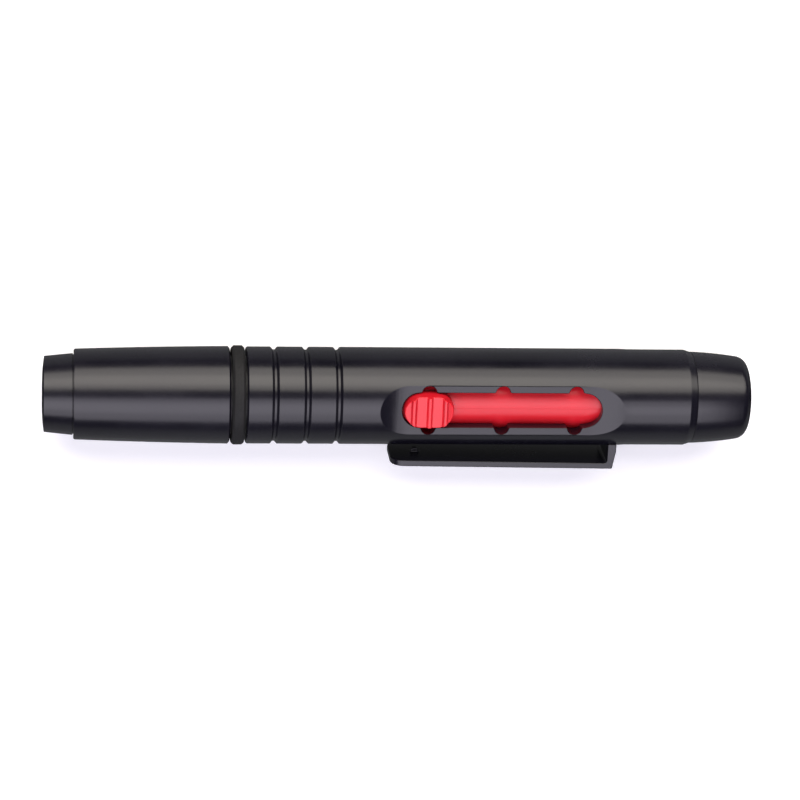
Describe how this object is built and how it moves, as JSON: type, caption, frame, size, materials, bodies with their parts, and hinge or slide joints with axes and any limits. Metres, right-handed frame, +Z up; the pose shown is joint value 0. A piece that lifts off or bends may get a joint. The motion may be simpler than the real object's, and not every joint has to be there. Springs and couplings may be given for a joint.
{
  "type": "lens cleaning pen",
  "caption": "Slim pen-shaped lens cleaner with a pull-off cap over a soft cleaning tip, a pocket clip, and a slide button that pushes out a retractable brush.",
  "frame": {"origin": "under the middle of the bounding box, on the surface that the pen lies on", "axes": "+X along the pen towards the end that the brush comes out of, +Z up, with the pen rolled about 21 degrees towards its clip, as it lies"},
  "size_m": [0.114, 0.0197, 0.0166],
  "materials": {
    "black_plastic": "satin-gloss moulded ABS",
    "ring_rubber": "matte moulded rubber",
    "red_plastic": "glossy moulded plastic",
    "tip_rubber": "soft matte rubber",
    "suede": "fine suede",
    "carbon_foam": "carbon-loaded foam",
    "ferrule_metal": "satin rolled aluminium",
    "hair": "fine dark natural hair",
    "glue": "hardened resin",
    "inner_plastic": "matte moulded plastic"
  },
  "bodies": {
    "handle": {"barrel": "black_plastic", "nose_piece": "black_plastic", "pocket_clip": "black_plastic", "tip_holder": "inner_plastic", "tip_stem": "inner_plastic", "tip_cup": "tip_rubber", "cleaning_pad": "suede"},
    "cap_seal": {"seal_ring": "ring_rubber"},
    "cap": {"cap_shell": "black_plastic", "cap_plug": "black_plastic", "carbon_pad": "carbon_foam"},
    "brush": {"brush_carriage": "red_plastic", "thumb_button": "red_plastic", "carriage_plug": "red_plastic", "brush_ferrule": "ferrule_metal", "bristle_plug": "glue", "bristles": "hair"}
  },
  "joints": [
    {"name": "cap_twist", "type": "hinge", "parent": "handle", "child": "cap_seal", "pos_m": [-0.0259, 0.00189, 0.00797], "axis": [1, 0, 0], "continuous": true},
    {"name": "cap_pull", "type": "slide", "parent": "cap_seal", "child": "cap", "axis": [-1, 0, 0], "range_m": [0, 0.032]},
    {"name": "brush_slide", "type": "slide", "parent": "handle", "child": "brush", "axis": [1, 0, 0], "range_m": [0, 0.0237]}
  ]
}
